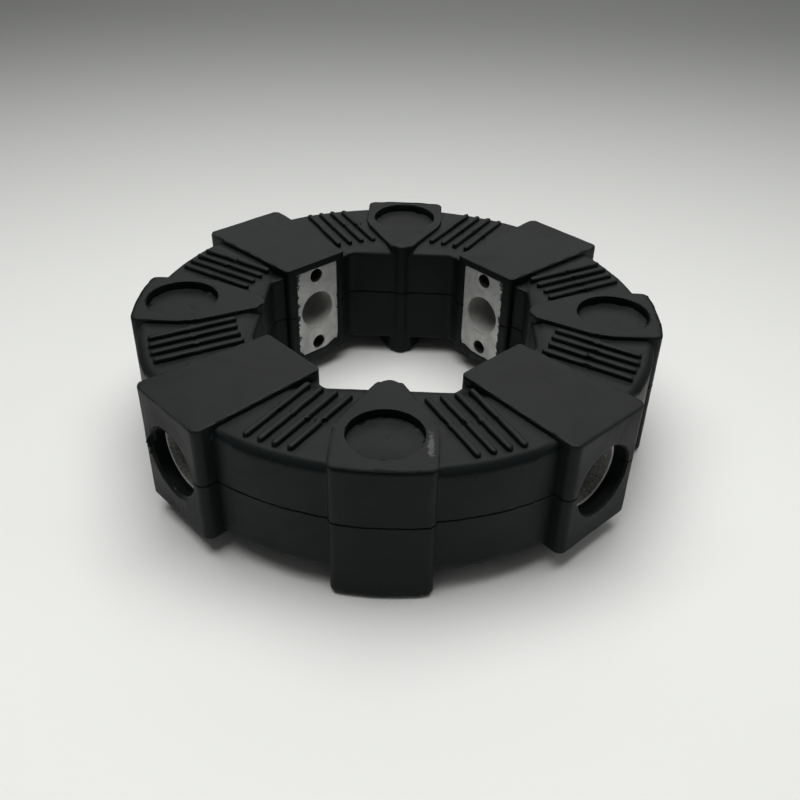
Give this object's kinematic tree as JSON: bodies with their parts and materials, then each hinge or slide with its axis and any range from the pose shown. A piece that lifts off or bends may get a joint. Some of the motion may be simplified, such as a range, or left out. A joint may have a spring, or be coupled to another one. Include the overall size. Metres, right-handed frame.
{
  "type": "flexible coupling ring",
  "caption": "Moulded rubber coupling ring with ribbed spring segments, axial and radial bolt lobes, and bonded cast aluminium inserts.",
  "frame": {"origin": "centre of the ring on the flange plane, where the four axial inserts stand", "axes": "+Z along the shaft axis, away from the flange; +X and +Y through the centres of two axial lobes; the radial lobes are at 45 degrees between them"},
  "size_m": [0.26, 0.26, 0.07],
  "materials": {
    "rubber": "satin",
    "cast_aluminium": "satin"
  },
  "bodies": {
    "flange_side": {"rubber_ring": "rubber", "axial_insert_1": "cast_aluminium", "axial_insert_2": "cast_aluminium", "axial_insert_3": "cast_aluminium", "axial_insert_4": "cast_aluminium"},
    "hub_side": {"radial_insert_1": "cast_aluminium", "radial_insert_2": "cast_aluminium", "radial_insert_3": "cast_aluminium", "radial_insert_4": "cast_aluminium"}
  },
  "joints": [
    {"name": "wind_up", "type": "hinge", "parent": "flange_side", "child": "hub_side", "pos_m": [0, 0, 0.04], "axis": [0, 0, 1], "range_deg": [-6, 6], "stiffness_Nm_per_rad": 1000, "deforming": ["rubber_ring"]}
  ]
}
